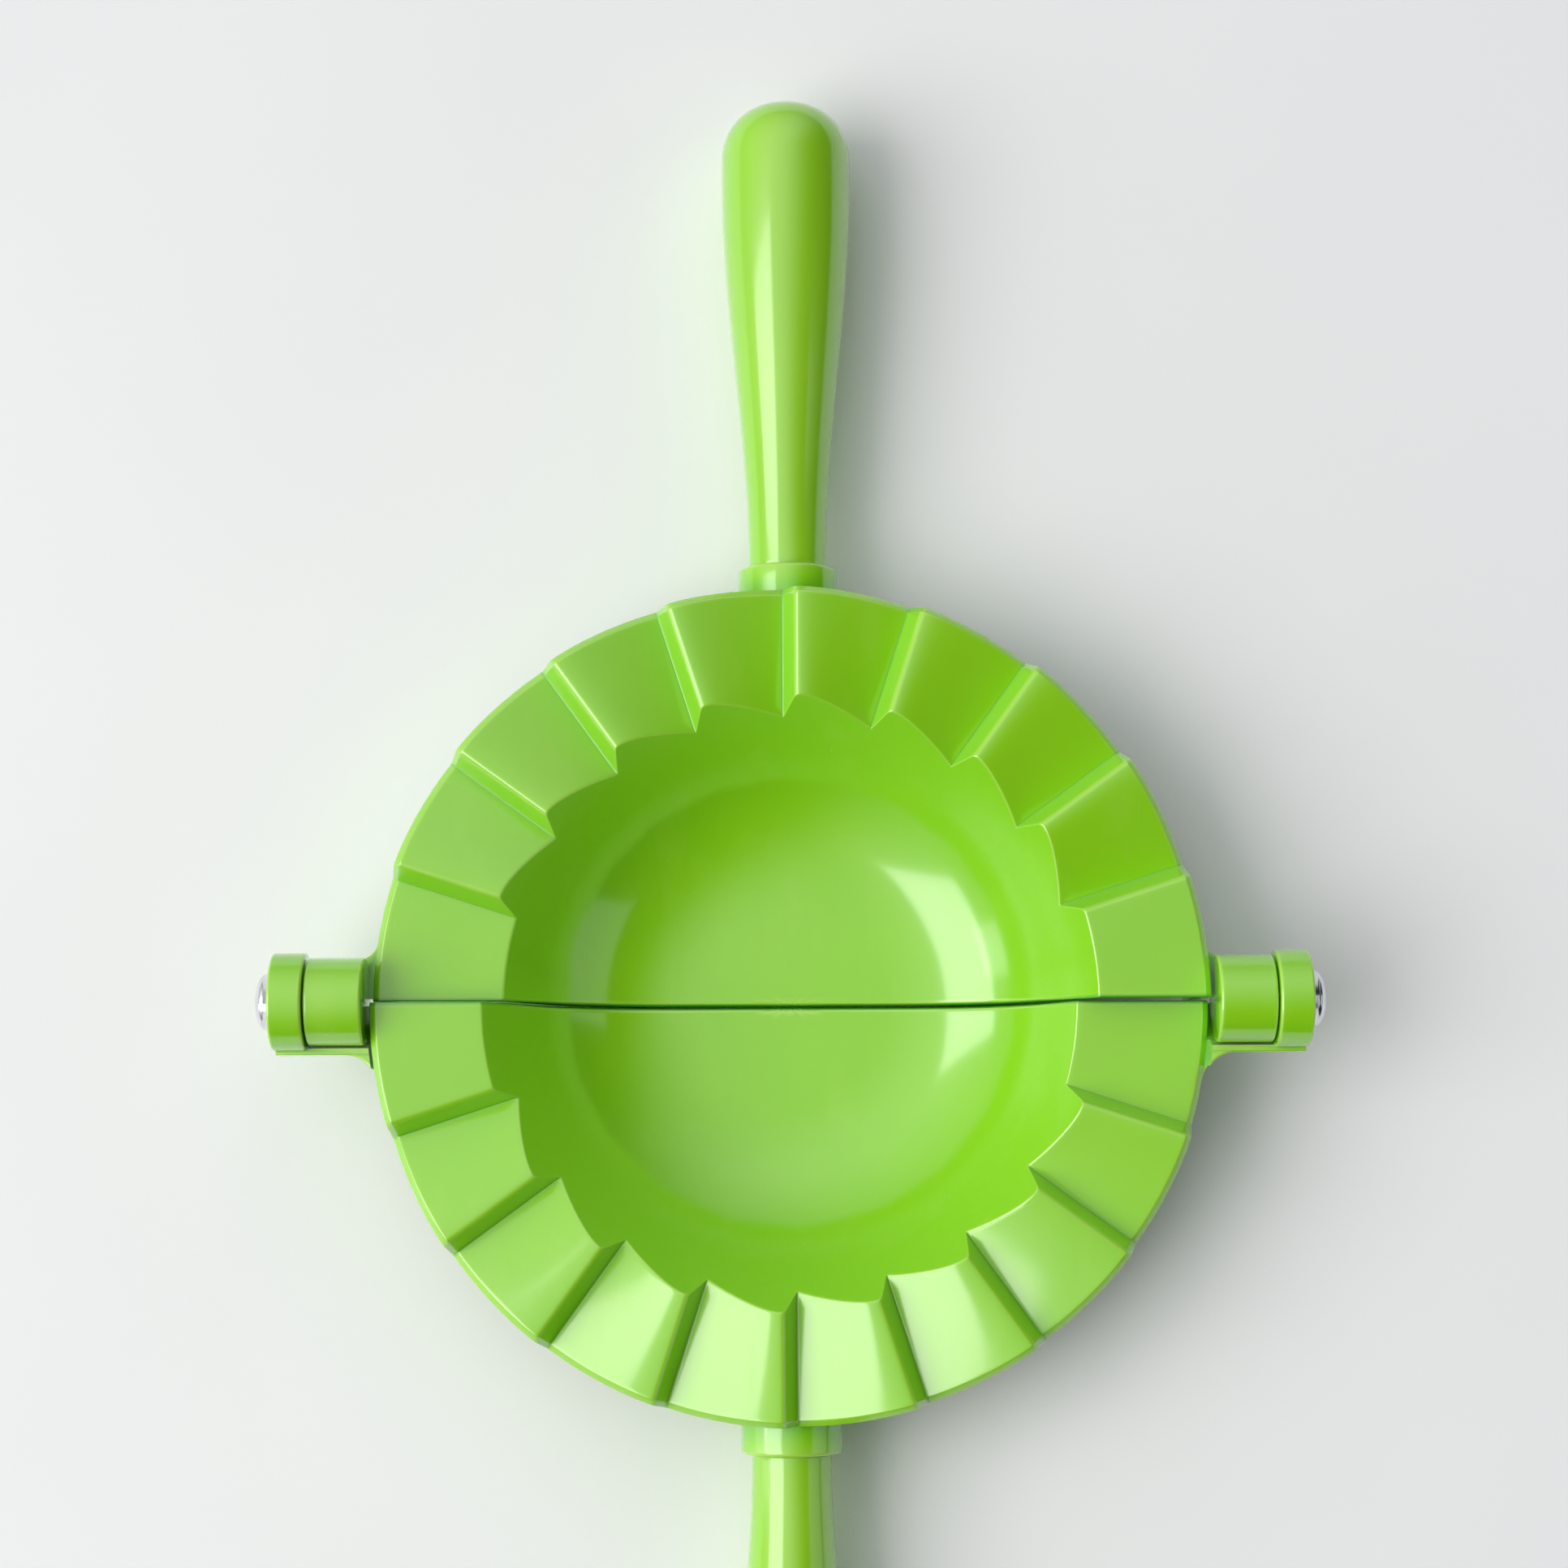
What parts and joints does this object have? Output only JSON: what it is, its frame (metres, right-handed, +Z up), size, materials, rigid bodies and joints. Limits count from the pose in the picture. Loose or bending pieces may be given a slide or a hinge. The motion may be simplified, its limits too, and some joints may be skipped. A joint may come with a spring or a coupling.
{
  "type": "empanada press",
  "caption": "Hand press for filled dough pockets: hinged half bowls with ramped crimping teeth round the rim, domed hinge screws and a turned grip on each half.",
  "frame": {"origin": "On the table, under the middle of the hinge line, with the press lying open on its bowl.", "axes": "+X along the hinge line, +Y toward the upper grip, +Z up, out of the open bowl."},
  "size_m": [0.12, 0.214, 0.0225],
  "materials": {
    "rim": "glossy lime green moulded plastic",
    "grip": "glossy lime green moulded plastic",
    "screw": "bright plated steel"
  },
  "bodies": {
    "lower_body": {"lower_half": "rim", "lower_grip": "grip"},
    "upper_body": {"upper_half": "rim", "upper_grip": "grip", "left_hinge_screw": "screw", "right_hinge_screw": "screw"}
  },
  "joints": [
    {"name": "hinge", "type": "hinge", "parent": "lower_body", "child": "upper_body", "pos_m": [0, 0, 0.017], "axis": [1, 0, 0], "range_deg": [0, 180]}
  ]
}
